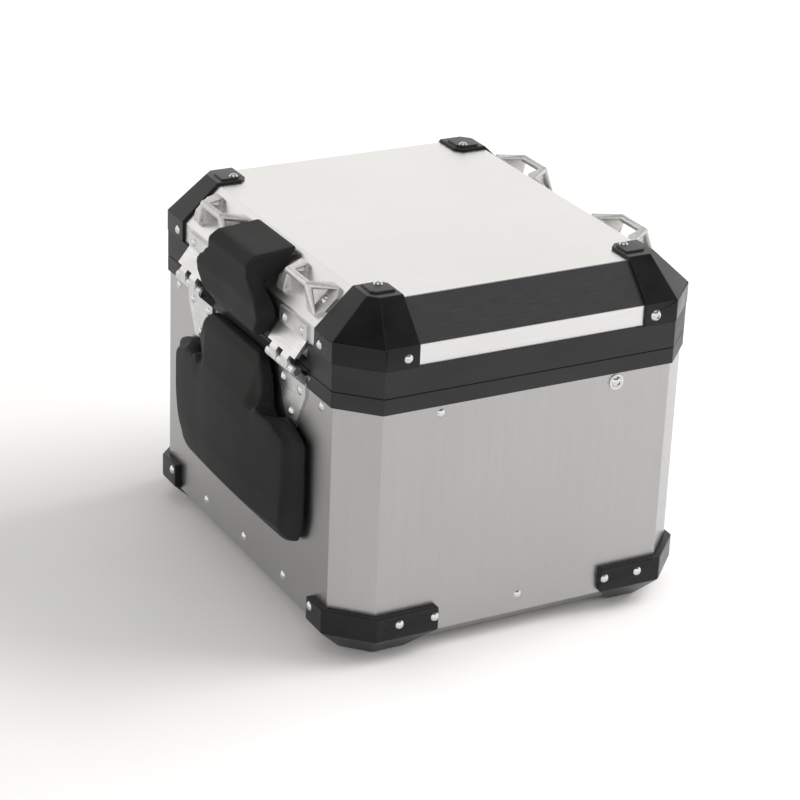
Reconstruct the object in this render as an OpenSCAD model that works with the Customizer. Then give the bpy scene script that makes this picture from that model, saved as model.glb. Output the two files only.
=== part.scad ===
// Aluminium motorcycle top case: folded sheet body and lid with an eight-sided plan, black rim profiles,
// corner protectors, tie-down loops, two hinges on the rider's side and a two-piece backrest.
// Frame: +Z up, -Y towards the rider (hinges and backrest), +X to the right. The origin is on the ground
// plane under the middle of the case.

/* [Body] */
// Width of the sheet body across its side walls
case_w = 370; // [350:1:390]
// Depth of the sheet body from the rider's side to the rear
case_d = 320; // [305:1:335]
// Leg of each cut-off vertical corner
corner_cut = 29; // [24:1:32]
// Thickness of the aluminium sheet
sheet = 1.5; // [1.2:0.1:2]
// Height of the floor's underside above the ground
floor_z = 6; // [5:0.5:8]
// Height of the bent-in strip at the foot of each wall
foot_bend = 12; // [10:1:14]

/* [Rims] */
// Height of the lower edge of the body rim
rim_low_z = 217; // [212:1:219]
// Height of the parting line between body and lid
parting_z = 231; // [230:1:232]
// Height of the upper edge of the lid rim
rim_high_z = 254; // [252:1:256]
// How far the rims stand proud of the sheet
rim_proud = 2; // [1.5:0.1:2.5]
// How far the rims reach inside the sheet
rim_inside = 5; // [4:0.5:6]

/* [Lid] */
// Height at which the lid's walls turn into its slopes
band_top_z = 271; // [269:1:272]
// Height of the lid's flat top
lid_top_z = 300; // [298:1:302]
// Horizontal depth of the slope on the left and right
slope_side = 29; // [27:1:31]
// Horizontal depth of the slope at the front and rear
slope_front = 31; // [29:1:33]
// Thickness of the lid's corner protectors
lid_corner_t = 2.5; // [2:0.1:3]

/* [Base corners] */
// How far the base corner protectors stand proud of the walls
base_proud = 6; // [5:0.5:7]
// Height of the protectors' upper edge
base_corner_h = 41.5; // [40:0.5:44]

/* [Hinges] */
// Distance of each hinge from the middle of the case
hinge_x = 88; // [86:1:92]
// Length of a hinge along its pin
hinge_len = 48; // [48:1:50]
// Radius of the hinge pins
hinge_pin_r = 2.2; // [2:0.1:2.4]

/* [Tie-down loops] */
// Distance of each loop from the middle of the lid
loop_x = 81; // [80:1:82]
// Height of a loop's bar above the slope
loop_h = 15; // [14:0.5:17]

/* [Hidden] */
$fn = 64;
gap = 0.3;
a = case_w / 2;
b = case_d / 2;
bend_z = floor_z + foot_bend;
oct_turn = 1 - tan(22.5);
body_diag = (a + b - corner_cut) / sqrt(2);
lid_top_cut = 7;
lid_diag_in = body_diag - (a - slope_side + b - slope_front - lid_top_cut) / sqrt(2);
wall_top_z = rim_low_z + 9;
lid_wall_low_z = parting_z + 9;
slope_mid_z = (band_top_z + lid_top_z) / 2;
slope_angle = atan2(lid_top_z - band_top_z, slope_front);

// Places that rivets and screws share with the holes they sit in: [position, turn]
front_turn = [90, 0, 0];
rear_turn = [-90, 0, 0];
right_turn = [0, 90, 0];
shank_r = 2;
hole_r = 2.05;
low_rivet_z = 33;
rim_rivet_z = 210;
lid_rivet_z = 262;
side_rivet_y = 80;
corner_rivet_y = 112;
front_corner_x = 137;
top_rivet = [133, 112];

// Hinge axis and the latch axes on the rear wall
pin_y = -(b + 10);
pin_z = parting_z;
knuckle_r = 4.5;
knuckle_w = 8;
leaf_t = 2;
latch_y = b + 14;
latch_z = 204;
release_z = 96;
lock_drop = 27;
lock_r = 8;
rear_pin_r = 2;
rack_pin_y = 128;
rack_pin_z = 24;
mount_x = 90;
mount_y = 60;
mount_hole_r = 3.3;

// ---- Plan and wall forms ----

// Eight-sided plan of the case, grown outwards by off
module plan(off) {
  x = a + off;
  y = b + off;
  c = corner_cut + off * oct_turn;
  polygon([[x - c, -y], [x, c - y], [x, y - c], [x - c, y],
           [c - x, y], [-x, y - c], [-x, c - y], [c - x, -y]]);
}

module ring(outside, inside, z_low, z_high) {
  translate([0, 0, z_low])
    linear_extrude(z_high - z_low)
      difference() {
        plan(outside);
        plan(inside);
      }
}

// Section between two slopes: dir is 1 for a lid, -1 for a foot. The slopes start inset inside half at
// z_end and are moved outwards by off. The section runs on past z_end, where the plan's own extrusion
// ends.
function slopes(half, inset, rise, off, z_end, dir) =
  let (slant = norm([inset, rise]),
       x_end = half - inset + off * (slant - inset) / rise,
       x_near = x_end - inset,
       x_far = x_end + 2 * inset,
       z_near = z_end + dir * (off + rise),
       z_far = z_end + dir * (off - 2 * rise),
       z_back = z_far - dir * case_d)
  [[-x_far, z_back], [x_far, z_back], [x_far, z_far], [x_near, z_near], [-x_near, z_near], [-x_far, z_far]];

module across(turn, length) {
  rotate([0, 0, turn])
    rotate([90, 0, 0])
      linear_extrude(length, center = true)
        children();
}

// Solid with upright walls on the case's plan and slopes on all eight sides
module walled(wall_off, halves, insets, rise, off, z_open, z_end, dir) {
  z_last = z_end + dir * off;
  intersection() {
    translate([0, 0, min(z_open, z_last)])
      linear_extrude(abs(z_open - z_last))
        plan(wall_off);
    across(0, 2 * case_d)
      polygon(slopes(halves[0], insets[0], rise, off, z_end, dir));
    across(90, 2 * case_w)
      polygon(slopes(halves[1], insets[1], rise, off, z_end, dir));
    across(45, 2 * case_w)
      polygon(slopes(halves[2], insets[2], rise, off, z_end, dir));
    across(-45, 2 * case_w)
      polygon(slopes(halves[2], insets[2], rise, off, z_end, dir));
  }
}

module body_form(off, z_open) {
  walled(off, [a, b, body_diag], [foot_bend, foot_bend, foot_bend], foot_bend, off, z_open, floor_z, -1);
}

module lid_form(off, z_open) {
  walled(off, [a, b, body_diag], [slope_side, slope_front, lid_diag_in], lid_top_z - band_top_z, off,
         z_open, lid_top_z, 1);
}

module both_sides() {
  children();
  mirror([1, 0, 0])
    children();
}

module four_corners() {
  both_sides() {
    children();
    mirror([0, 1, 0])
      children();
  }
}

module corner_at(left, rear) {
  mirror([left, 0, 0])
    mirror([0, rear, 0])
      children();
}

// ---- Fasteners: each sits with its head on z = 0 and its shank along -z ----

module dome(r, h) {
  ball = (r * r + h * h) / (2 * h);
  intersection() {
    translate([0, 0, h - ball])
      sphere(ball);
    cylinder(h = h + 1, r = r + 1);
  }
}

module rivet(grip) {
  dome(3.8, 2);
  translate([0, 0, -grip - 1.2])
    cylinder(h = grip + 1.3, r = shank_r);
  translate([0, 0, -grip - 1.4])
    cylinder(h = 1.3, r = 3);
}

module rivet_hole() {
  translate([0, 0, -14])
    cylinder(h = 16, r = hole_r);
}

module socket_screw(head_r, head_h, grip) {
  difference() {
    union() {
      dome(head_r, head_h);
      translate([0, 0, -grip - 3])
        cylinder(h = grip + 3.1, r = shank_r);
      translate([0, 0, -grip - 3])
        cylinder(h = 2.9, r = 4, $fn = 6);
    }
    translate([0, 0, head_h - 1.5])
      cylinder(h = 3, r = 2, $fn = 6);
  }
}

// ---- Shared places ----

module on_front(x, z, proud = 0) {
  translate([x, -b - proud, z])
    rotate(front_turn)
      children();
}

module on_rear(x, z, proud = 0) {
  translate([x, b + proud, z])
    rotate(rear_turn)
      children();
}

module on_right(y, z, proud = 0) {
  translate([a + proud, y, z])
    rotate(right_turn)
      children();
}

module base_corner_places() {
  four_corners() {
    for (y = [-corner_rivet_y, -side_rivet_y])
      on_right(y, low_rivet_z, base_proud)
        children();
    on_front(front_corner_x, low_rivet_z + 2, base_proud)
      children();
  }
}

module body_rivet_places() {
  four_corners()
    on_front(front_corner_x, rim_rivet_z)
      children();
  both_sides() {
    on_right(-side_rivet_y, rim_rivet_z)
      children();
    on_right(0, low_rivet_z)
      children();
  }
  for (x = [-76, 0, 76]) {
    on_front(x, low_rivet_z - 1)
      children();
    on_rear(x, low_rivet_z - 1)
      children();
  }
}

module stay_body_places() {
  both_sides()
    on_right(side_rivet_y, rim_rivet_z - 1)
      children();
}

module stay_lid_places() {
  both_sides()
    on_right(corner_rivet_y, lid_rivet_z, lid_corner_t)
      children();
}

module lid_corner_places() {
  four_corners() {
    translate([top_rivet[0], -top_rivet[1], lid_top_z + lid_corner_t + 1.5])
      children();
    on_front(front_corner_x - 2, lid_rivet_z - 0.5, lid_corner_t)
      children();
  }
  both_sides()
    on_right(-corner_rivet_y, lid_rivet_z, lid_corner_t)
      children();
}

module hinge_body_places() {
  both_sides() {
    for (x = [-15.3, 15.3])
      on_front(hinge_x + x, rim_rivet_z, leaf_t)
        children();
    on_front(hinge_x, rim_rivet_z - 24, leaf_t)
      children();
  }
}

module hinge_lid_places() {
  both_sides()
    for (x = [-15.3, 15.3])
      on_front(hinge_x + x, lid_rivet_z - 1, leaf_t)
        children();
}

module slope_place(rear) {
  mirror([0, rear, 0])
    translate([0, -b + slope_front / 2, slope_mid_z])
      rotate([slope_angle, 0, 0])
        children();
}

module tie_down_bolt_places() {
  for (rear = [0, 1])
    slope_place(rear)
      for (side = [-1, 1], end = [-1, 1])
        translate([side * loop_x + end * foot_bolt_x, 0, foot_t])
          children();
}

module lower_pad_places() {
  for (x = [-80, 80], z = [95, 150])
    translate([x, -b + sheet, z])
      rotate(rear_turn)
        children();
}

module upper_pad_places() {
  for (x = [-24, 24])
    translate([x, -b + sheet, lid_rivet_z + 1])
      rotate(rear_turn)
        children();
}

module housing_places(pivot_z) {
  both_sides()
    for (z = [pivot_z - 42, pivot_z + 4])
      on_rear(40, z, 3)
        children();
}

module striker_places() {
  both_sides()
    on_rear(13, lid_rivet_z + 1, leaf_t)
      children();
}

module claw_rivet_places() {
  both_sides()
    for (x = [52, 68])
      translate([x, -96, floor_z + sheet])
        children();
}

module bracket_rivet_places() {
  both_sides()
    translate([26, rack_pin_y, floor_z + sheet + 2])
      children();
}

module mount_holes() {
  for (x = [-mount_x, mount_x], y = [-mount_y, mount_y])
    translate([x, y, 0])
      cylinder(h = 20, r = mount_hole_r);
}

// ---- Body ----

module body_shell() {
  color("silver")
    difference() {
      body_form(0, wall_top_z);
      body_form(-sheet, wall_top_z + 10);
      base_corner_places()
        rivet_hole();
      body_rivet_places()
        rivet_hole();
      stay_body_places()
        rivet_hole();
      hinge_body_places()
        rivet_hole();
      lower_pad_places()
        rivet_hole();
      housing_places(latch_z)
        rivet_hole();
      housing_places(release_z)
        rivet_hole();
      claw_rivet_places()
        rivet_hole();
      bracket_rivet_places()
        rivet_hole();
      mount_holes();
      translate([-13, rack_pin_y - 14, 0])
        cube([26, 30, 20]);
      for (z = [latch_z - lock_drop, release_z - lock_drop])
        on_rear(0, z, -6)
          cylinder(h = 12, r = 11);
    }
}

// Clear space that the hinges take in both rims
module hinge_pockets() {
  both_sides()
    translate([hinge_x, -b, parting_z])
      rotate(front_turn)
        linear_extrude(12) {
          translate([-hinge_len / 2 - 2, -20])
            square([hinge_len + 4, 44]);
          for (x = [-1, 1])
            translate([x * (hinge_len / 2), 0])
              circle(9);
        }
}

module body_rim() {
  color("#2c2c2e")
    difference() {
      ring(rim_proud, -rim_inside, rim_low_z, parting_z - gap);
      ring(0.05, -sheet - 0.05, rim_low_z - 1, wall_top_z + 0.1);
      hinge_pockets();
    }
}

// One base corner protector, at the front right
module base_corner() {
  bend = bend_z + 3;
  long_leg = b - 83;
  color("#303032")
    difference() {
      intersection() {
        walled(base_proud, [a + base_proud, b + base_proud, body_diag + base_proud], [bend, bend, bend],
               bend, 0, base_corner_h, 0, -1);
        rotate([90, 0, 90])
          linear_extrude(case_w)
            polygon([[-long_leg, base_corner_h], [-long_leg, bend], [-long_leg - 20, 0],
                     [-case_d, 0], [-case_d, base_corner_h]]);
        rotate([90, 0, 0])
          linear_extrude(case_d)
            polygon([[131, base_corner_h], [131, bend], [143, 0], [case_w, 0], [case_w, base_corner_h]]);
      }
      body_form(0.02, 60);
      translate([0, 0, -1])
        linear_extrude(floor_z + 2)
          plan(-34);
      base_corner_places()
        rivet_hole();
    }
}

module base_corner_front_right() {
  base_corner();
}

module base_corner_front_left() {
  corner_at(1, 0)
    base_corner();
}

module base_corner_rear_right() {
  corner_at(0, 1)
    base_corner();
}

module base_corner_rear_left() {
  corner_at(1, 1)
    base_corner();
}

module base_corner_rivets() {
  color("gainsboro")
    base_corner_places()
      rivet(base_proud + sheet);
}

module body_rivets() {
  color("gainsboro")
    body_rivet_places()
      rivet(sheet);
}

module stay_screws_body() {
  color("gainsboro")
    stay_body_places() {
      difference() {
        cylinder(h = 1.2, r = 6.5);
        translate([0, 0, -1])
          cylinder(h = 4, r = shank_r);
      }
      translate([0, 0, 1.2])
        socket_screw(4.8, 3, sheet + 1.2);
    }
}

// ---- Hinges ----

// Barrel pieces of one hinge: which = 0 for the body's three, 1 for the lid's two
module knuckles(which) {
  pitch = (hinge_len - knuckle_w) / 4;
  play = 0.2;
  for (i = [which : 2 : 4]) {
    wide = i % 2 == 0 ? knuckle_w : 2 * pitch - knuckle_w;
    translate([i * pitch + knuckle_w / 2 - hinge_len / 2 - wide / 2 + play, 0, 0])
      rotate([90, 0, 90])
        linear_extrude(wide - 2 * play)
          children();
  }
}

module body_leaf() {
  color("darkgray")
    difference() {
      union() {
        on_front(hinge_x, 0)
          linear_extrude(leaf_t)
            polygon([[-24, rim_low_z - 9], [-7, 174], [7, 174], [24, rim_low_z - 9], [24, wall_top_z],
                     [-24, wall_top_z]]);
        translate([hinge_x, 0, 0])
          knuckles(0) {
            translate([pin_y, pin_z])
              circle(knuckle_r);
            polygon([[-b, 217], [-b - leaf_t, 217], [pin_y - 3.2, pin_z - 3.2], [pin_y + 1.5, pin_z + 1.5],
                     [-b - leaf_t, wall_top_z], [-b, wall_top_z]]);
          }
      }
      translate([0, pin_y, pin_z])
        rotate(right_turn)
          cylinder(h = case_w, r = hinge_pin_r);
      hinge_body_places()
        rivet_hole();
    }
}

module lid_leaf() {
  color("lightgray")
    difference() {
      union() {
        on_front(hinge_x, 0)
          linear_extrude(leaf_t)
            translate([-24, rim_high_z])
              square([48, 14]);
        translate([hinge_x - hinge_len / 2, 0, 0])
          rotate([90, 0, 90])
            linear_extrude(hinge_len)
              polygon([[-b, rim_high_z + 1], [-b - leaf_t, rim_high_z + 1], [pin_y - 4.4, pin_z + 8],
                       [pin_y - 2.4, pin_z + 6.8], [-b, rim_high_z - 3]]);
        translate([hinge_x, 0, 0])
          knuckles(1) {
            translate([pin_y, pin_z])
              circle(knuckle_r);
            polygon([[pin_y - 4.5, pin_z], [pin_y - 1.5, pin_z], [pin_y - 1.5, pin_z + 8],
                     [pin_y - 4.4, pin_z + 8]]);
          }
      }
      for (i = [0, 2, 4])
        translate([hinge_x - hinge_len / 2 + i * (hinge_len - knuckle_w) / 4 - 0.2, pin_y - 8, pin_z - 6])
          cube([knuckle_w + 0.4, 14, 17]);
      translate([0, pin_y, pin_z])
        rotate(right_turn)
          cylinder(h = case_w, r = hinge_pin_r + 0.05);
      hinge_lid_places()
        rivet_hole();
    }
}

module hinge_pin() {
  color("gainsboro")
    translate([hinge_x - hinge_len / 2 - 1, pin_y, pin_z])
      rotate(right_turn) {
        cylinder(h = hinge_len + 2, r = hinge_pin_r);
        for (z = [-0.2, hinge_len + 1])
          translate([0, 0, z])
            cylinder(h = 1.2, r = hinge_pin_r + 1);
      }
}

module hinge_body_leaf_right() {
  body_leaf();
}

module hinge_body_leaf_left() {
  mirror([1, 0, 0])
    body_leaf();
}

module hinge_pin_right() {
  hinge_pin();
}

module hinge_pin_left() {
  mirror([1, 0, 0])
    hinge_pin();
}

module hinge_lid_leaf_right() {
  lid_leaf();
}

module hinge_lid_leaf_left() {
  mirror([1, 0, 0])
    lid_leaf();
}

module hinge_body_rivets() {
  color("gainsboro")
    hinge_body_places()
      rivet(leaf_t + sheet);
}

module hinge_lid_rivets() {
  color("gainsboro")
    hinge_lid_places()
      rivet(leaf_t + sheet);
}

// ---- Backrest ----

pad_gap = 3.2;
lower_half = [[40, 212], [47, 206], [61, 181], [72, 169], [105, 172], [118, 168], [120, 164], [120, 88],
              [117, 78], [106, 73]];
upper_half = [[36, 303], [39, 300], [39, 277], [56, 269], [61, 264], [62, 258], [50, 238], [44, 234]];

function mirrored(half) = concat(half, [for (i = [len(half) - 1 : -1 : 0]) [-half[i][0], half[i][1]]]);

module lower_pad_outline() {
  polygon(mirrored(lower_half));
}

module upper_pad_outline() {
  polygon(mirrored(upper_half));
}

module lower_backrest_pad() {
  color("#262626")
    intersection() {
      translate([0, -b - pad_gap, 0])
        rotate(front_turn)
          linear_extrude(24)
            lower_pad_outline();
      rotate([90, 0, 90])
        linear_extrude(2 * case_w, center = true)
          polygon([[-b, 73], [-b - 12, 73], [-b - 22, 84], [-b - 25, 110], [-b - 25, 160], [-b - 21, 203],
                   [-b - 14, 212], [-b, 212]]);
    }
}

module lower_pad_carrier() {
  color("#1d1d1d")
    difference() {
      translate([0, -b, 0])
        rotate(front_turn)
          linear_extrude(pad_gap - 0.2)
            offset(delta = -8)
              lower_pad_outline();
      lower_pad_places()
        translate([0, 0, -6])
          cylinder(h = 10, r = hole_r);
    }
}

module lower_pad_screws() {
  color("gray")
    lower_pad_places()
      pad_screw();
}

module pad_screw() {
  dome(5, 2.2);
  translate([0, 0, -sheet - 2.5])
    cylinder(h = sheet + 2.6, r = shank_r);
}

module upper_backrest_pad() {
  color("#3a3836")
    difference() {
      intersection() {
        translate([0, -b + 40, 0])
          rotate(front_turn)
            linear_extrude(80)
              upper_pad_outline();
        rotate([90, 0, 90])
          linear_extrude(2 * case_w, center = true)
            polygon([[-b + 28, 298], [-b + 26, 303], [-b - 4, 300], [-b - 14, 294], [-b - 24, 283],
                     [-b - 26, 266], [-b - 22, 244], [-b - 14, 234], [-b, 234]]);
      }
      lid_form(pad_gap, parting_z - 2);
    }
}

module upper_pad_carrier() {
  color("#1d1d1d")
    difference() {
      intersection() {
        lid_form(pad_gap - 0.2, rim_high_z + 1);
        translate([0, -b + 40, 0])
          rotate(front_turn)
            linear_extrude(80)
              polygon([[-34, rim_high_z + 1], [34, rim_high_z + 1],
                       [34, lid_top_z - 4], [-34, lid_top_z - 4]]);
      }
      lid_form(0.02, rim_high_z);
      upper_pad_places()
        translate([0, 0, -6])
          cylinder(h = 10, r = hole_r);
    }
}

module upper_pad_screws() {
  color("gray")
    upper_pad_places()
      pad_screw();
}

// ---- Lid ----

module lid_shell() {
  color("silver")
    difference() {
      lid_form(0, lid_wall_low_z);
      lid_form(-sheet, lid_wall_low_z - 10);
      lid_corner_places()
        rivet_hole();
      stay_lid_places()
        rivet_hole();
      hinge_lid_places()
        rivet_hole();
      tie_down_bolt_places()
        rivet_hole();
      upper_pad_places()
        rivet_hole();
      striker_places()
        rivet_hole();
    }
}

module lid_rim() {
  color("#2f2f31")
    difference() {
      ring(rim_proud, -rim_inside, parting_z + gap, rim_high_z);
      ring(0.05, -sheet - 0.05, lid_wall_low_z - 0.1, rim_high_z + 1);
      ring(-0.6, -3.8, parting_z, parting_z + 3.2);
      hinge_pockets();
    }
}

module lid_seal() {
  color("black")
    ring(-0.7, -3.7, parting_z - 0.05, parting_z + 3.1);
}

// One lid corner protector, at the front right
module lid_corner() {
  inner_x = 125;
  inner_y = 102;
  color("#333335")
    difference() {
      union() {
        intersection() {
          lid_form(lid_corner_t, rim_high_z + 0.1);
          translate([0, 0, rim_high_z - 1])
            linear_extrude(60)
              polygon([[inner_x, -case_d], [inner_x, -inner_y - 6], [inner_x + 6, -inner_y],
                       [case_w, -inner_y], [case_w, -case_d]]);
        }
        translate([0, 0, lid_top_z + 0.5])
          linear_extrude(lid_corner_t + 1)
            polygon([[inner_x + 3, -inner_y - 22], [inner_x + 3, -inner_y - 8], [inner_x + 8, -inner_y - 3],
                     [inner_x + 24, -inner_y - 3], [inner_x + 24, -inner_y - 19],
                     [inner_x + 20, -inner_y - 23],
                     [inner_x + 4, -inner_y - 23]]);
      }
      lid_form(0.02, rim_high_z - 2);
      lid_corner_places()
        rivet_hole();
      stay_lid_places()
        rivet_hole();
      mirror([0, 1, 0])
        stay_lid_places()
          rivet_hole();
    }
}

module lid_corner_front_right() {
  lid_corner();
}

module lid_corner_front_left() {
  corner_at(1, 0)
    lid_corner();
}

module lid_corner_rear_right() {
  corner_at(0, 1)
    lid_corner();
}

module lid_corner_rear_left() {
  corner_at(1, 1)
    lid_corner();
}

module lid_corner_rivets() {
  color("gainsboro")
    lid_corner_places()
      rivet(lid_corner_t + 1.5 + sheet);
}

module stay_screws_lid() {
  color("gainsboro")
    stay_lid_places()
      socket_screw(4.8, 3, lid_corner_t + sheet);
}

// ---- Tie-down loops: in a frame on the slope, x along the bar, z away from the slope ----

foot_t = 3;
foot_in = 18;
foot_out = 41;
foot_half = 15;
foot_bolt_x = 29;
bar_r = 3.2;

module loop_foot() {
  difference() {
    linear_extrude(foot_t)
      polygon([[foot_in, -8], [foot_in + 6, -foot_half], [foot_out - 8, -foot_half], [foot_out, -7],
               [foot_out, 7], [foot_out - 8, foot_half], [foot_in + 6, foot_half], [foot_in, 8]]);
    translate([foot_bolt_x, 0, -1])
      cylinder(h = 10, r = hole_r);
  }
}

// Rib from the end of the bar down to one long side of the foot
module loop_rib() {
  hull() {
    translate([foot_in - 1, 0, loop_h])
      sphere(bar_r, $fn = 20);
    translate([foot_in + 5, -foot_half + 1.5, foot_t - 0.5])
      cylinder(h = 0.5, r = 1.4, $fn = 20);
    translate([foot_out - 9, -foot_half + 1.5, foot_t - 0.5])
      cylinder(h = 0.5, r = 1.4, $fn = 20);
  }
}

// Facet that closes the leg between its two ribs, down to the bolt's seat
module loop_web() {
  hull() {
    translate([foot_in - 1, 0, loop_h - 0.6])
      sphere(bar_r - 0.8, $fn = 20);
    translate([0, 0, foot_t - 0.5])
      linear_extrude(0.5)
        polygon([[foot_in, -8], [foot_in + 5, -12], [foot_bolt_x - 4.4, -9.6], [foot_bolt_x - 4.4, 9.6],
                 [foot_in + 5, 12], [foot_in, 8]]);
  }
}

module tie_down(side, rear) {
  color("lightgray")
    slope_place(rear)
      translate([side * loop_x, 0, 0]) {
        both_sides() {
          loop_foot();
          loop_web();
          loop_rib();
          mirror([0, 1, 0])
            loop_rib();
        }
        translate([-foot_in, 0, loop_h])
          rotate(right_turn)
            cylinder(h = 2 * foot_in, r = bar_r);
      }
}

module tie_down_front_right() {
  tie_down(1, 0);
}

module tie_down_front_left() {
  tie_down(-1, 0);
}

module tie_down_rear_right() {
  tie_down(1, 1);
}

module tie_down_rear_left() {
  tie_down(-1, 1);
}

module tie_down_bolts() {
  color("gainsboro")
    tie_down_bolt_places()
      rivet(foot_t + sheet);
}

// ---- Rear latch for the lid and release for the rack ----

cheek_x = 36;
cheek_t = 5;

module housing(pivot_z) {
  color("#2b2b2d")
    difference() {
      union() {
        on_rear(0, 0)
          linear_extrude(3)
            mirror([0, 1])
              polygon([[-44, pivot_z - 48], [-40, pivot_z - 52], [40, pivot_z - 52], [44, pivot_z - 48],
                       [44, pivot_z + 6], [40, pivot_z + 10], [-40, pivot_z + 10], [-44, pivot_z + 6]]);
        both_sides()
          translate([cheek_x - cheek_t, 0, 0])
            rotate([90, 0, 90])
              linear_extrude(cheek_t)
                polygon([[b + 2, pivot_z - 16], [latch_y + 2, pivot_z - 8], [latch_y + 5, pivot_z - 2],
                         [latch_y + 5, pivot_z + 3], [latch_y + 2, pivot_z + 6], [b + 2, pivot_z + 9]]);
      }
      translate([-60, latch_y, pivot_z])
        rotate(right_turn)
          cylinder(h = 120, r = rear_pin_r);
      on_rear(0, pivot_z - lock_drop, -2)
        cylinder(h = 12, r = 11);
      housing_places(pivot_z)
        rivet_hole();
    }
}

module rear_pin(pivot_z) {
  color("gainsboro")
    translate([-cheek_x - 0.8, latch_y, pivot_z])
      rotate(right_turn)
        cylinder(h = 2 * cheek_x + 1.6, r = rear_pin_r);
}

// Flap that hangs from its pin; its boss leaves the middle of the pin free
module handle(pivot_z) {
  inner = 14;
  boss = cheek_x - cheek_t - 0.3;
  color("#3a3a3c")
    difference() {
      union() {
        both_sides()
          translate([inner, 0, 0])
            rotate([90, 0, 90])
              linear_extrude(boss - inner) {
                translate([latch_y, pivot_z])
                  circle(4.6);
                polygon([[latch_y - 4.6, pivot_z], [latch_y - 3, pivot_z - 12], [latch_y + 10, pivot_z - 12],
                         [latch_y + 9, pivot_z - 2], [latch_y, pivot_z + 4.6]]);
              }
        translate([0, latch_y + 1, 0])
          rotate(rear_turn)
            linear_extrude(7)
              mirror([0, 1])
                polygon([[-boss, pivot_z - 8], [-boss, pivot_z - 44], [-boss + 6, pivot_z - 50],
                         [boss - 6, pivot_z - 50], [boss, pivot_z - 44], [boss, pivot_z - 8]]);
        translate([0, latch_y - 2.6, pivot_z - lock_drop])
          rotate(rear_turn)
            cylinder(h = 13.6, r = 12);
      }
      translate([-60, latch_y, pivot_z])
        rotate(right_turn)
          cylinder(h = 120, r = rear_pin_r + 0.05);
      translate([0, latch_y - 10, pivot_z - lock_drop])
        rotate(rear_turn)
          cylinder(h = 40, r = lock_r + 0.05);
    }
}

module lock_barrel(pivot_z) {
  color("silver")
    translate([0, latch_y - 3, pivot_z - lock_drop])
      rotate(rear_turn)
        difference() {
          union() {
            cylinder(h = 15, r = lock_r);
            translate([-2.5, -9, -2.4])
              cube([5, 18, 2.4]);
          }
          translate([-0.8, -3.6, 12])
            cube([1.6, 7.2, 4]);
        }
}

module latch_housing() {
  housing(latch_z);
}

module release_housing() {
  housing(release_z);
}

module latch_pin() {
  rear_pin(latch_z);
}

module release_pin() {
  rear_pin(release_z);
}

module latch_handle() {
  handle(latch_z);
}

module release_lever() {
  handle(release_z);
}

module latch_lock_barrel() {
  lock_barrel(latch_z);
}

module release_lock_barrel() {
  lock_barrel(release_z);
}

module housing_rivets() {
  color("gainsboro") {
    housing_places(latch_z)
      rivet(3 + sheet);
    housing_places(release_z)
      rivet(3 + sheet);
  }
}

// Claw plate that swings on the latch pin and holds the striker's ledge
module latch_hook() {
  color("lightgray")
    difference() {
      translate([-12, 0, 0])
        rotate([90, 0, 90])
          linear_extrude(24) {
            translate([latch_y, latch_z])
              circle(4.6);
            polygon([[latch_y - 2, latch_z + 3], [latch_y + 3, latch_z + 3], [latch_y + 2, latch_z + 42],
                     [latch_y - 2.4, latch_z + 44], [latch_y - 2.4, latch_z + 40],
                     [latch_y - 0.6, latch_z + 38]]);
          }
      translate([-60, latch_y, latch_z])
        rotate(right_turn)
          cylinder(h = 120, r = rear_pin_r + 0.05);
    }
}

module lid_striker() {
  color("lightgray")
    difference() {
      union() {
        on_rear(0, 0)
          linear_extrude(leaf_t)
            mirror([0, 1])
              translate([-20, rim_high_z + 0.5])
                square([40, 14]);
        translate([-14, 0, 0])
          rotate([90, 0, 90])
            linear_extrude(28)
              polygon([[b, rim_high_z + 4], [b, rim_high_z + 0.5], [b + rim_proud + gap, rim_high_z + 0.5],
                       [b + rim_proud + gap, 236], [latch_y - 3, 236], [latch_y - 3, 239],
                       [b + 4.8, 242], [b + 4.8, rim_high_z + 1], [b + leaf_t, rim_high_z + 4]]);
      }
      striker_places()
        rivet_hole();
    }
}

module striker_rivets() {
  color("gainsboro")
    striker_places()
      rivet(leaf_t + sheet);
}

// ---- Rack fixings under the floor ----

module rack_claws() {
  color("gray")
    difference() {
      both_sides() {
        translate([46, -124, floor_z - 1.6])
          cube([28, 36, 1.6]);
        translate([46, -104, 0.6])
          cube([28, 16, floor_z - 0.6]);
        translate([46, -124, 0.6])
          cube([28, 21, 1.4]);
      }
      claw_rivet_places() {
        rivet_hole();
        translate([0, 0, -14])
          cylinder(h = 8, r = 3.2);
      }
    }
}

module rack_latch_bracket() {
  color("gray")
    difference() {
      union() {
        both_sides() {
          translate([15, rack_pin_y - 10, floor_z + sheet])
            cube([20, 20, 2]);
          translate([15, 0, 0])
            rotate([90, 0, 90])
              linear_extrude(2.5)
                polygon([[rack_pin_y - 10, floor_z + sheet], [rack_pin_y + 10, floor_z + sheet],
                         [rack_pin_y + 6, rack_pin_z + 6], [rack_pin_y - 6, rack_pin_z + 6]]);
        }
      }
      translate([-60, rack_pin_y, rack_pin_z])
        rotate(right_turn)
          cylinder(h = 120, r = rear_pin_r);
      bracket_rivet_places()
        rivet_hole();
    }
}

module rack_latch_pin() {
  color("gainsboro")
    translate([-18.5, rack_pin_y, rack_pin_z])
      rotate(right_turn)
        cylinder(h = 37, r = rear_pin_r);
}

module rack_latch_hook() {
  color("lightgray")
    difference() {
      union() {
        translate([-10, rack_pin_y, rack_pin_z])
          rotate(right_turn)
            cylinder(h = 20, r = 6);
        translate([-10, 0, 0])
          rotate([90, 0, 90])
            linear_extrude(20)
              polygon([[rack_pin_y - 3, rack_pin_z - 3], [rack_pin_y + 3, rack_pin_z - 3],
                       [rack_pin_y + 4, 2.2], [rack_pin_y - 9, 2.2], [rack_pin_y - 9, 4.4],
                       [rack_pin_y - 2, 5.4]]);
      }
      translate([-60, rack_pin_y, rack_pin_z])
        rotate(right_turn)
          cylinder(h = 120, r = rear_pin_r + 0.05);
    }
}

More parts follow.
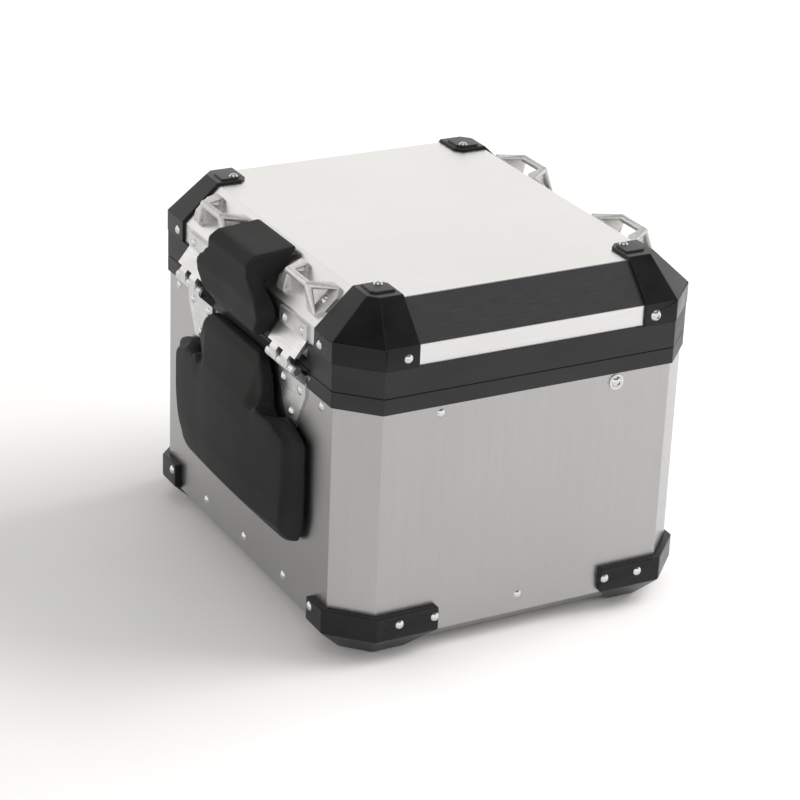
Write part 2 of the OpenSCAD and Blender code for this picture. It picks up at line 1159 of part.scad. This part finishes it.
module rack_rivets() {
  color("gainsboro") {
    claw_rivet_places()
      rivet(floor_z);
    bracket_rivet_places()
      rivet(sheet + 2);
  }
}

body_shell();
body_rim();
base_corner_front_right();
base_corner_front_left();
base_corner_rear_right();
base_corner_rear_left();
base_corner_rivets();
body_rivets();
stay_screws_body();
hinge_body_leaf_right();
hinge_body_leaf_left();
hinge_pin_right();
hinge_pin_left();
hinge_body_rivets();
lower_backrest_pad();
lower_pad_carrier();
lower_pad_screws();
latch_housing();
latch_pin();
release_housing();
release_pin();
housing_rivets();
rack_claws();
rack_latch_bracket();
rack_latch_pin();
rack_rivets();
lid_shell();
lid_rim();
lid_seal();
lid_corner_front_right();
lid_corner_front_left();
lid_corner_rear_right();
lid_corner_rear_left();
lid_corner_rivets();
stay_screws_lid();
tie_down_front_right();
tie_down_front_left();
tie_down_rear_right();
tie_down_rear_left();
tie_down_bolts();
hinge_lid_leaf_right();
hinge_lid_leaf_left();
hinge_lid_rivets();
upper_backrest_pad();
upper_pad_carrier();
upper_pad_screws();
lid_striker();
striker_rivets();
latch_handle();
latch_hook();
latch_lock_barrel();
release_lever();
rack_latch_hook();
release_lock_barrel();
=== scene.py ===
"""Looks for a motorcycle top case.

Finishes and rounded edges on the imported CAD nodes, two foam backrest pads, a floor, a light and a camera.
"""
import math

import bmesh
import bpy
from mathutils import Matrix, Vector


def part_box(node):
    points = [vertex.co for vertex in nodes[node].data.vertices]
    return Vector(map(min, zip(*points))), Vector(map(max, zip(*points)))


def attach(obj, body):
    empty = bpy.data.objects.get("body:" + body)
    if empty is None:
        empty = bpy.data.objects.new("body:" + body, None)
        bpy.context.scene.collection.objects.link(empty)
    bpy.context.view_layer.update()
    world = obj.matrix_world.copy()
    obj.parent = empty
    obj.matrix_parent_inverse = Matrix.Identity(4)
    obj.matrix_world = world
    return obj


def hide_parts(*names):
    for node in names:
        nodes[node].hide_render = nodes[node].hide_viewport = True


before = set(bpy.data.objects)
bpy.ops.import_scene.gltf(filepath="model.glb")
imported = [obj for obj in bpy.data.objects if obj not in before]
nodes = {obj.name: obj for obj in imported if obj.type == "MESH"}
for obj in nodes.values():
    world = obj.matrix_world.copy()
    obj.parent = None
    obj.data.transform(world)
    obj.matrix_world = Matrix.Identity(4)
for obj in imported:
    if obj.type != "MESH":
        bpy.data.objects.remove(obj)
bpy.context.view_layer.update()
MM = 0.001


# ---- Camera, light and floor ----

CAMERA_PLACE = (1.8243, -1.0247, 1.0715)
# Degrees: azimuth from -Y towards +X, elevation above the horizon, roll about the line of sight
CAMERA_TURN = (61.03, 24.24, 2.39)
LENS_MM = 120.6
SENSOR_MM = 36
KEY_PLACE = (0.6, 2.6, 2.3)
KEY_SIZE = 2.4
KEY_WATTS = 125
KEY_COLOR = (1.0, 0.99, 0.98)
CASE_MIDDLE = (0, 0, 0.15)
SKY_BRIGHT = (1.0, 0.985, 0.965, 1)
SKY_DARK = (0.08, 0.08, 0.082, 1)
SKY_SOFT_BOX = (0.72, 0.72, 0.715, 1)
SKY_STRENGTH = 1.38
FLOOR_REACH = 40


def make_camera():
    """Long lens from the front right, a little above the lid, with a slight tilt."""
    azimuth, elevation, roll = (math.radians(turn) for turn in CAMERA_TURN)
    back = Vector((math.sin(azimuth) * math.cos(elevation), -math.cos(azimuth) * math.cos(elevation),
                   math.sin(elevation)))
    level = Vector((math.cos(azimuth), math.sin(azimuth), 0))
    upright = back.cross(level)
    right = math.cos(roll) * level + math.sin(roll) * upright
    up = math.cos(roll) * upright - math.sin(roll) * level
    camera = bpy.data.objects.new("camera", bpy.data.cameras.new("camera"))
    camera.data.sensor_width = SENSOR_MM
    camera.data.lens = LENS_MM
    pose = Matrix((right, up, back)).transposed().to_4x4()
    pose.translation = CAMERA_PLACE
    camera.matrix_world = pose
    bpy.context.scene.collection.objects.link(camera)
    bpy.context.scene.camera = camera


def make_key_light():
    """Square soft light above and behind the case. It lights, but draws no highlight of its own."""
    light = bpy.data.lights.new("key", "AREA")
    light.shape = "SQUARE"
    light.size = KEY_SIZE
    light.energy = KEY_WATTS
    light.color = KEY_COLOR
    holder = bpy.data.objects.new("key", light)
    holder.location = KEY_PLACE
    holder.visible_glossy = False
    aim = Vector(CASE_MIDDLE) - holder.location
    holder.rotation_euler = aim.to_track_quat("-Z", "Y").to_euler()
    bpy.context.scene.collection.objects.link(holder)


def make_world():
    """Studio surroundings: bright at eye level and below, dark above, with a soft box straight overhead."""
    world = bpy.data.worlds.new("studio")
    bpy.context.scene.world = world
    world.use_nodes = True
    tree = world.node_tree
    where = tree.nodes.new("ShaderNodeTexCoord")
    split = tree.nodes.new("ShaderNodeSeparateXYZ")
    ramp = tree.nodes.new("ShaderNodeValToRGB")
    tree.links.new(where.outputs["Generated"], split.inputs[0])
    tree.links.new(split.outputs["Z"], ramp.inputs[0])
    # A stop's position is the sine of its elevation: these lie at about 31, 44, 58 and 68 degrees.
    stops = ramp.color_ramp.elements
    stops[0].position = 0.52
    stops[0].color = SKY_BRIGHT
    stops[1].position = 0.70
    stops[1].color = SKY_DARK
    stops.new(0.85).color = SKY_DARK
    stops.new(0.93).color = SKY_SOFT_BOX
    background = tree.nodes["Background"]
    tree.links.new(ramp.outputs[0], background.inputs["Color"])
    background.inputs["Strength"].default_value = SKY_STRENGTH


def make_floor():
    """Pale floor that reaches so far that its edge is out of sight from every side."""
    mesh = bpy.data.meshes.new("floor")
    corners = [(FLOOR_REACH * x, FLOOR_REACH * y, 0) for x, y in ((-1, -1), (1, -1), (1, 1), (-1, 1))]
    mesh.from_pydata(corners, [], [(0, 1, 2, 3)])
    floor = bpy.data.objects.new("floor", mesh)
    bpy.context.scene.collection.objects.link(floor)
    finish = Finish("pale_floor", 0.75)
    finish.paint(finish.mottle(finish.noise(even(3), 3), even(0.86), even(0.90)))
    mesh.materials.append(finish.material)


# ---- Finishes ----

def even(value):
    """The same value three times: a neutral grey, or the scale of a pattern that has no direction."""
    return value, value, value


class Finish:
    """One node material. Its patterns use the part's own coordinates in metres, so they move with it."""

    def __init__(self, name, roughness, metallic=0.0, specular=None):
        self.material = bpy.data.materials.new(name)
        self.material.use_nodes = True
        self.tree = self.material.node_tree
        self.shader = self.tree.nodes["Principled BSDF"]
        self.shader.inputs["Roughness"].default_value = roughness
        self.shader.inputs["Metallic"].default_value = metallic
        if specular is not None:
            self.shader.inputs["Specular IOR Level"].default_value = specular
        self.point = self.tree.nodes.new("ShaderNodeTexCoord").outputs["Object"]
        self.normal = None

    def link(self, source, target):
        self.tree.links.new(source, target)

    def math(self, operation, first, second=0.0):
        """Result of a math node; first and second are numbers or node outputs."""
        node = self.tree.nodes.new("ShaderNodeMath")
        node.operation = operation
        for socket, value in zip(node.inputs, (first, second)):
            if isinstance(value, (int, float)):
                socket.default_value = value
            else:
                self.link(value, socket)
        return node.outputs[0]

    def axis(self, name):
        """The X, Y or Z coordinate, in metres."""
        split = self.tree.nodes.new("ShaderNodeSeparateXYZ")
        self.link(self.point, split.inputs[0])
        return split.outputs[name]

    def noise(self, scale, detail, roughness=0.5):
        """Noise from 0 to 1; scale is in cells per metre along X, Y and Z, so unequal scales draw a grain."""
        stretch = self.tree.nodes.new("ShaderNodeMapping")
        stretch.inputs["Scale"].default_value = scale
        self.link(self.point, stretch.inputs["Vector"])
        node = self.tree.nodes.new("ShaderNodeTexNoise")
        node.inputs["Scale"].default_value = 1
        node.inputs["Detail"].default_value = detail
        node.inputs["Roughness"].default_value = roughness
        self.link(stretch.outputs[0], node.inputs["Vector"])
        return node.outputs["Fac"]

    def cells(self, scale):
        """Small rounded cells, as in moulded or leather-like grain; scale is in cells per metre."""
        node = self.tree.nodes.new("ShaderNodeTexVoronoi")
        node.feature = "SMOOTH_F1"
        node.inputs["Scale"].default_value = scale
        self.link(self.point, node.inputs["Vector"])
        return node.outputs["Distance"]

    def edges(self, low=0.52, high=0.62):
        """1 along outside edges, where handling wears a finish."""
        node = self.tree.nodes.new("ShaderNodeNewGeometry")
        return self.range(node.outputs["Pointiness"], low, high)

    def range(self, value, low, high, to_low=0.0, to_high=1.0):
        """Stretches low to high into to_low to to_high, and holds what lies outside at the ends."""
        node = self.tree.nodes.new("ShaderNodeMapRange")
        for socket, number in zip(("From Min", "From Max", "To Min", "To Max"), (low, high, to_low, to_high)):
            node.inputs[socket].default_value = number
        self.link(value, node.inputs["Value"])
        return node.outputs[0]

    def spread(self, noise, to_low=0.0, to_high=1.0):
        """Stretches noise to the span given. Nearly all of it lies between 0.3 and 0.7."""
        return self.range(noise, 0.3, 0.7, to_low, to_high)

    def mix(self, amount, first, second):
        """Colour between first and second; each is a colour or another mix."""
        node = self.tree.nodes.new("ShaderNodeMix")
        node.data_type = "RGBA"
        self.link(amount, node.inputs[0])
        for socket, color in zip((node.inputs[6], node.inputs[7]), (first, second)):
            if isinstance(color, tuple):
                socket.default_value = (*color, 1)
            else:
                self.link(color, socket)
        return node.outputs[2]

    def mottle(self, noise, first, second):
        """Colour that varies with noise over the whole way from first to second."""
        return self.mix(self.spread(noise), first, second)

    def paint(self, color):
        self.link(color, self.shader.inputs["Base Color"])

    def roughness(self, noise, low, high):
        self.link(self.spread(noise, low, high), self.shader.inputs["Roughness"])

    def bump(self, pattern, strength, depth):
        """Adds a relief of depth metres to those there already."""
        node = self.tree.nodes.new("ShaderNodeBump")
        node.inputs["Strength"].default_value = strength
        node.inputs["Distance"].default_value = depth
        self.link(pattern, node.inputs["Height"])
        if self.normal is not None:
            self.link(self.normal, node.inputs["Normal"])
        self.normal = node.outputs[0]
        self.link(self.normal, self.shader.inputs["Normal"])


def brushed_sheet(name, grain, painted_light_scale):
    """Brushed aluminium sheet and its colour; grain is the scale of the marks, low along the brushing. The
    last argument scales the colour lighter or darker: painted light and shade that set the body's sheet apart
    from the lid's.
    """
    finish = Finish(name, 0.34, metallic=1.0)

    def shade(red, green, blue):
        return painted_light_scale * red, painted_light_scale * green, painted_light_scale * blue

    fine = finish.noise(grain, 6, roughness=0.65)
    broad = finish.noise(tuple(0.12 * scale for scale in grain), 3)
    clouds = finish.noise(even(9), 3)
    tone = finish.mottle(fine, shade(0.60, 0.597, 0.59), shade(0.66, 0.66, 0.66))
    tone = finish.mix(finish.spread(broad, 0, 0.25), tone, shade(0.70, 0.70, 0.70))
    tone = finish.mix(finish.range(clouds, 0.35, 0.7, 0, 0.3), tone, shade(0.58, 0.573, 0.56))
    finish.paint(tone)
    finish.roughness(fine, 0.27, 0.36)
    finish.bump(fine, strength=0.06, depth=0.0001)
    return finish, tone


def body_sheet():
    """Body sheet, brushed up and down; its colour is scaled to 0.63 against the lid's 1.02, painted shade for
    the dimmer light its walls reflect.
    """
    return brushed_sheet("body_brushed_sheet", (1700, 1700, 22), 0.63)[0].material


def lid_sheet():
    """Lid sheet, brushed from front to back; its two side slopes are painted dark, a painted reflection of
    the dark surroundings above.
    """
    finish, tone = brushed_sheet("lid_brushed_sheet", (1700, 22, 1700), 1.02)
    slope_height = 29 * MM
    inset = 0.5 * MM
    fade = 0.2 * MM
    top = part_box("lid_shell")[1]
    foot = top.z - slope_height
    # The side slopes stand at 45 degrees, so beside + height is the same all over them.
    slope = top.x + foot
    beside = finish.math("ABSOLUTE", finish.axis("X"))
    reach = finish.math("ADD", beside, finish.axis("Z"))
    on_slope = finish.range(reach, slope - inset - fade, slope - inset)
    above = finish.range(finish.axis("Z"), foot + inset - fade, foot + inset)
    below = finish.range(finish.axis("Z"), top.z - inset, top.z - inset + fade, 1, 0)
    dark_reflection_mask = finish.math("MULTIPLY", on_slope, finish.math("MULTIPLY", above, below))
    # Painted reflection: the side slopes get a dark streaked colour and far less metal, which stands in for
    # the dark surroundings above that they mirror.
    streaks = finish.noise((1500, 60, 1500), 5, roughness=0.6)
    painted_dark_reflection = finish.mottle(streaks, (0.030, 0.030, 0.032), (0.050, 0.050, 0.052))
    finish.paint(finish.mix(dark_reflection_mask, tone, painted_dark_reflection))
    finish.link(finish.range(dark_reflection_mask, 0, 1, 1, 0.25), finish.shader.inputs["Metallic"])
    return finish.material


def rim_coat():
    """Powder-coated extrusion, paler on its worn edges."""
    finish = Finish("rim_powder_coat", 0.42, specular=0.22)
    speck = finish.noise(even(1500), 3)
    clouds = finish.noise((14, 14, 40), 4)
    tone = finish.mottle(clouds, (0.014, 0.014, 0.015), (0.021, 0.021, 0.022))
    wear = finish.math("MULTIPLY", finish.edges(0.53, 0.66), 0.3)
    finish.paint(finish.mix(wear, tone, even(0.12)))
    finish.roughness(clouds, 0.38, 0.50)
    finish.bump(speck, strength=0.25, depth=0.00006)
    return finish.material


def moulded(name, dark, light, roughness):
    """Moulded plastic with a fine spark-eroded grain and paler worn edges."""
    finish = Finish(name, roughness, specular=0.20)
    cells = finish.cells(1300)
    clouds = finish.noise(even(30), 4)
    tone = finish.mottle(clouds, dark, light)
    wear = finish.math("MULTIPLY", finish.edges(), 0.25)
    finish.paint(finish.mix(wear, tone, even(0.06)))
    finish.roughness(clouds, roughness - 0.05, roughness + 0.07)
    finish.bump(cells, strength=0.3, depth=0.00008)
    return finish.material


def pad_skin():
    """Integral skin of a polyurethane foam pad: dark, matt and finely grained, with a dusty bloom."""
    finish = Finish("pad_skin", 0.62, specular=0.13)
    cells = finish.cells(1100)
    fine = finish.noise(even(2600), 3)
    clouds = finish.noise(even(16), 4)
    tone = finish.mottle(clouds, (0.009, 0.0089, 0.009), (0.015, 0.0148, 0.0145))
    finish.paint(finish.mix(finish.range(cells, 0.25, 0.6, 0, 0.3), tone, (0.020, 0.0198, 0.0195)))
    finish.roughness(clouds, 0.54, 0.68)
    finish.shader.inputs["Sheen Weight"].default_value = 0.03
    finish.shader.inputs["Sheen Roughness"].default_value = 0.45
    finish.bump(cells, strength=0.35, depth=0.00012)
    finish.bump(fine, strength=0.2, depth=0.00005)
    return finish.material


def bare_metal(name, dark, light, smooth, rough, grain, depth=0.00006):
    """Bare or plated metal; an unequal grain brushes it, an equal one leaves a cast or tumbled surface."""
    finish = Finish(name, smooth, metallic=1.0)
    marks = finish.noise(grain, 5, roughness=0.6)
    clouds = finish.noise(even(45), 4)
    tone = finish.mottle(marks, dark, light)
    dulled = tuple(0.8 * channel for channel in dark)
    finish.paint(finish.mix(finish.range(clouds, 0.4, 0.75, 0, 0.35), tone, dulled))
    finish.roughness(clouds, smooth, rough)
    finish.bump(marks, strength=0.2, depth=depth)
    return finish.material


def rubber():
    """Extruded rubber of the lid's seal."""
    finish = Finish("seal_rubber_skin", 0.7)
    clouds = finish.noise(even(60), 4)
    finish.paint(finish.mottle(clouds, even(0.012), even(0.022)))
    finish.roughness(clouds, 0.62, 0.8)
    finish.bump(finish.noise(even(900), 2), strength=0.3, depth=0.0001)
    return finish.material


def make_finishes():
    """One material for each material slot of the record that isn't sheet."""
    return {
        "rim_black": rim_coat(),
        "corner_black": moulded("corner_plastic", dark=(0.004, 0.004, 0.0044), light=(0.007, 0.007, 0.0075),
                                roughness=0.27),
        "trim_black": moulded("trim_plastic", dark=even(0.011), light=even(0.018), roughness=0.45),
        "seal_rubber": rubber(),
        "pad_foam": pad_skin(),
        "cast_alloy": bare_metal("cast_alloy_satin", dark=(0.56, 0.555, 0.545), light=(0.70, 0.70, 0.69),
                                 smooth=0.40, rough=0.52, grain=even(420), depth=0.00008),
        "hinge_steel": bare_metal("hinge_steel_brushed", dark=even(0.55), light=even(0.70),
                                  smooth=0.26, rough=0.38, grain=(60, 900, 900)),
        "rivet_steel": bare_metal("rivet_steel_tumbled", dark=even(0.56), light=(0.68, 0.68, 0.675),
                                  smooth=0.15, rough=0.26, grain=even(500)),
        "lock_chrome": bare_metal("lock_chrome_plate", dark=even(0.75), light=even(0.85),
                                  smooth=0.08, rough=0.16, grain=even(300), depth=0.00002),
    }


def paint_nodes(finishes):
    """Gives both shells their sheet, and every other CAD node the finish that its slot is named after."""
    own = {"body_shell": body_sheet(), "lid_shell": lid_sheet()}
    for name, node in nodes.items():
        for slot in node.material_slots:
            slot.material = own.get(name) or finishes[slot.material.name.split(".")[0]]


# ---- Rounded edges on the CAD nodes ----

# Edge radius by the start of a node's name; the nodes that aren't here keep their edges.
ROUNDING_MM = {
    "body_shell": 0.35, "lid_shell": 0.35,
    "body_rim": 0.6, "lid_rim": 0.6, "lid_seal": 0.3,
    "base_corner": 1.1, "lid_corner": 0.9,
    "latch_housing": 0.5, "release_housing": 0.5, "latch_handle": 1.0, "release_lever": 1.0,
    "latch_hook": 0.3, "rack_latch_hook": 0.3, "lid_striker": 0.3,
    "rack_claws": 0.3, "rack_latch_bracket": 0.3,
    "latch_lock_barrel": 0.3, "release_lock_barrel": 0.3,
    "lower_pad_carrier": 0.5, "upper_pad_carrier": 0.5,
}

# Nodes with ring-shaped flats, which stay in pieces: as one face, a ring would span its opening.
RINGED = {
    "body_rim", "lid_rim", "lid_seal", "latch_housing", "release_housing", "latch_handle", "release_lever",
    "rack_latch_bracket",
}

# Angles between two faces, in degrees: up to the first the faces are merged, over the second their edge is
# rounded, and over the third it is shaded as sharp.
FLAT_ANGLE = 0.4
ROUND_ANGLE = 28
SHARP_ANGLE = 35
MERGE_DISTANCE = 0.002 * MM


def rounding_group(name, angle, merge):
    """Geometry nodes that may join a mesh's loose corners, and shade it smooth except at edges over angle."""
    group = bpy.data.node_groups.new(name, "GeometryNodeTree")
    group.interface.new_socket("Geometry", in_out="INPUT", socket_type="NodeSocketGeometry")
    group.interface.new_socket("Geometry", in_out="OUTPUT", socket_type="NodeSocketGeometry")
    add, link = group.nodes.new, group.links.new
    current = add("NodeGroupInput").outputs[0]
    if merge:
        joined = add("GeometryNodeMergeByDistance")
        joined.inputs["Distance"].default_value = MERGE_DISTANCE
        link(current, joined.inputs["Geometry"])
        plain = add("GeometryNodeRemoveAttribute")
        plain.inputs["Name"].default_value = "custom_normal"
        link(joined.outputs[0], plain.inputs["Geometry"])
        current = plain.outputs[0]
    faces = add("GeometryNodeSetShadeSmooth")
    faces.domain = "FACE"
    link(current, faces.inputs[0])
    bend = add("GeometryNodeInputMeshEdgeAngle")
    gentle = add("FunctionNodeCompare")
    gentle.operation = "LESS_THAN"
    gentle.inputs[1].default_value = math.radians(angle)
    link(bend.outputs["Unsigned Angle"], gentle.inputs[0])
    edges = add("GeometryNodeSetShadeSmooth")
    edges.domain = "EDGE"
    link(faces.outputs[0], edges.inputs[0])
    link(gentle.outputs[0], edges.inputs["Shade Smooth"])
    link(edges.outputs[0], add("NodeGroupOutput").inputs[0])
    return group


def edge_radius(name):
    """Radius in metres that a CAD node's edges get; 0 leaves them sharp."""
    if "rivets" in name:
        return 0
    return next((size * MM for start, size in ROUNDING_MM.items() if name.startswith(start)), 0)


def soften(name, node, joined, shaded):
    """Rounds a CAD node's edges with modifiers, and leaves its own mesh as it is."""
    node.modifiers.new("joined", "NODES").node_group = joined
    radius = edge_radius(name)
    if radius and name not in RINGED:
        flat = node.modifiers.new("flat", "DECIMATE")
        flat.decimate_type = "DISSOLVE"
        flat.angle_limit = math.radians(FLAT_ANGLE)
    if radius:
        bevel = node.modifiers.new("rounded", "BEVEL")
        bevel.width = radius
        bevel.segments = 2
        bevel.limit_method = "ANGLE"
        bevel.angle_limit = math.radians(ROUND_ANGLE)
        bevel.use_clamp_overlap = False
        bevel.miter_outer = "MITER_ARC"
    node.modifiers.new("shaded", "NODES").node_group = shaded
    weigh = node.modifiers.new("even", "WEIGHTED_NORMAL")
    weigh.keep_sharp = True


def soften_nodes():
    """Rounds and shades every CAD node. All share two groups of geometry nodes."""
    joined = rounding_group("join_corners", ROUND_ANGLE, merge=True)
    shaded = rounding_group("shade_by_angle", SHARP_ANGLE, merge=False)
    for name, node in nodes.items():
        soften(name, node, joined, shaded)


# ---- Backrest pads: places and sizes in this section are in millimetres ----

def smooth_step(low, high, value):
    """0 at low and 1 at high, with an easy start and end; low may be above high."""
    t = min(max((value - low) / (high - low), 0), 1)
    return t * t * (3 - 2 * t)


def profile(points, value):
    """Value read off a line through points of (place, value), which run in order."""
    for (start, first), (end, second) in zip(points, points[1:]):
        if value <= end:
            t = max((value - start) / (end - start), 0)
            return first + t * (second - first)
    return points[-1][1]


def half_widths(pad, layer=3):
    """Half width of a pad in each layer of its height, as points for profile."""
    widest = {}
    for vertex in pad.data.vertices:
        x, _, z = vertex.co / MM
        level = round(z / layer)
        widest[level] = max(widest.get(level, 0), abs(x))
    return [(level * layer, widest[level]) for level in sorted(widest)]


def applied(piece):
    """Replaces a piece's mesh by what its modifiers make of it."""
    bpy.context.view_layer.update()
    seen = piece.evaluated_get(bpy.context.evaluated_depsgraph_get())
    mesh = bpy.data.meshes.new_from_object(seen)
    piece.modifiers.clear()
    piece.data = mesh


def foam_block(name, node, voxel):
    """Starts a pad from its CAD solid: remeshes it evenly and relaxes the surface, which rounds its edges."""
    form = bmesh.new()
    form.from_mesh(nodes[node].data)
    bmesh.ops.remove_doubles(form, verts=form.verts, dist=0.01 * MM)
    bmesh.ops.dissolve_limit(form, angle_limit=math.radians(1), verts=form.verts, edges=form.edges)
    mesh = bpy.data.meshes.new(name)
    form.to_mesh(mesh)
    form.free()
    pad = bpy.data.objects.new(name, mesh)
    bpy.context.scene.collection.objects.link(pad)
    remesh = pad.modifiers.new("even", "REMESH")
    remesh.mode = "VOXEL"
    remesh.voxel_size = voxel * MM
    relax = pad.modifiers.new("relaxed", "SMOOTH")
    relax.factor = 0.5
    relax.iterations = 4
    applied(pad)
    return pad


def sculpt(pad, move):
    """Moves every vertex by what move says of its place."""
    for vertex in pad.data.vertices:
        place = vertex.co / MM
        vertex.co = (place + move(place)) * MM


def finish_pad(pad, node, body, skin):
    """Relaxes and subdivides a sculpted pad, and puts it in its CAD node's place."""
    pad.modifiers.new("relaxed", "SMOOTH").iterations = 3
    pad.modifiers.new("fine", "SUBSURF").levels = 1
    applied(pad)
    for face in pad.data.polygons:
        face.use_smooth = True
    pad.data.materials.clear()
    pad.data.materials.append(skin)
    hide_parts(node)
    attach(pad, body)


# How far the lower pad's shoulders rise at the back and at the front, as (distance from the middle, rise)
SHOULDER_BACK = ((62, 0), (72, 3), (82, 9), (92, 9), (105, 4), (120, 2))
SHOULDER_FRONT = ((59, 0), (64, 4), (72, 8), (80, 7), (92, 6), (104, 0), (120, -1))


def make_lower_pad(skin):
    """Wide pad with tapered sides, a thinner, raised head, and a ledge that fades towards the middle."""
    low, high = (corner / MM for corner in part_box("lower_backrest_pad"))
    pad = foam_block("lower_pad", "lower_backrest_pad", 1.8)
    depth = high.y - low.y
    # Heights between which the foot, the lower sides and the shoulders blend in, and at which the head begins
    foot_low, foot_high = 78, 104
    side_low, side_high = 85, 135
    shoulder_low, shoulder_high = 150, 168
    neck = 176
    # Half widths of the face and of the head
    half_face = 104
    half_head = 43
    # How far the sides, the lower sides and the lower corners draw in, and the share that the head widens by
    side_in = 14
    lower_side_in = 8
    corner_in = 5
    head_wider = 0.13
    # How far the face lies back in the middle, more at its sides and more above the neck
    face_back = 1.5
    side_back = 4.5
    ledge_back = 4.5
    # How far the head and the foot rise
    head_rise = 9
    foot_rise = 3

    def move(place):
        beside = abs(place.x)
        out = smooth_step(0, 1, (high.y - place.y) / depth)
        head = smooth_step(neck, neck + 20, place.z)
        foot = smooth_step(foot_high, foot_low, place.z)
        drawn = side_in + lower_side_in * smooth_step(side_high, side_low, place.z)
        taper = drawn * out * smooth_step(20, 60, beside) * (1 - head)
        corner = corner_in * foot * smooth_step(60, 112, beside)
        across = place.x * (head_wider * head - taper / high.x) - math.copysign(corner, place.x)
        fall = face_back + side_back * (beside / half_face) ** 2
        recess = smooth_step(0, 1, (place.z - neck) / 28 + max(beside - half_head, 0) / 19)
        ledge = ledge_back * recess * smooth_step(neck - 3, neck + 3, place.z)
        behind = profile(SHOULDER_BACK, beside)
        before = profile(SHOULDER_FRONT, beside)
        shoulder = (behind + out * (before - behind)) * smooth_step(shoulder_low, shoulder_high, place.z)
        lift = head_rise * smooth_step(neck + 6, neck + 30, place.z) + shoulder + foot_rise * foot
        return Vector((across, out * (fall + ledge), lift))

    sculpt(pad, move)
    finish_pad(pad, "lower_backrest_pad", "case", skin)


# Outline of the upper pad at its face and at its back, as (height, half width)
UPPER_FACE = ((236, 40), (245, 51), (254, 58), (272, 57), (283, 38), (303, 36))
UPPER_BACK = ((236, 44), (245, 54), (254, 61), (262, 59), (268, 52), (275, 39), (303, 35))


def make_upper_pad(skin):
    """Block pad over the lid's edge: a narrow head, wings that reach back along the lid, a narrow chin."""
    pad = foam_block("upper_pad", "upper_backrest_pad", 1.6)
    built = half_widths(pad)
    # Y just behind the pad's upright back, and the share of the depth in front of it that is taken off
    contact = -162
    thinner = 0.22
    # How far the top edge of the face moves out, which squares it, and the heights between which that
    # blends in
    brow_out = 7
    brow_low, brow_high = 281, 295

    def move(place):
        out = smooth_step(contact, contact - 20, place.y)
        face = profile(UPPER_FACE, place.z)
        back = profile(UPPER_BACK, place.z)
        wide = back + out * (face - back)
        across = place.x * (wide / profile(built, place.z) - 1)
        above = smooth_step(brow_low, brow_high, place.z)
        brow = brow_out * above * smooth_step(contact + 6, contact - 4, place.y)
        return Vector((across, thinner * max(contact - place.y, 0) - brow, 0))

    sculpt(pad, move)
    finish_pad(pad, "upper_backrest_pad", "lid", skin)


# ---- Scene ----

make_camera()
make_world()
make_key_light()
make_floor()
finishes = make_finishes()
paint_nodes(finishes)
soften_nodes()
make_lower_pad(finishes["pad_foam"])
make_upper_pad(finishes["pad_foam"])
bpy.context.scene.view_settings.view_transform = "Standard"
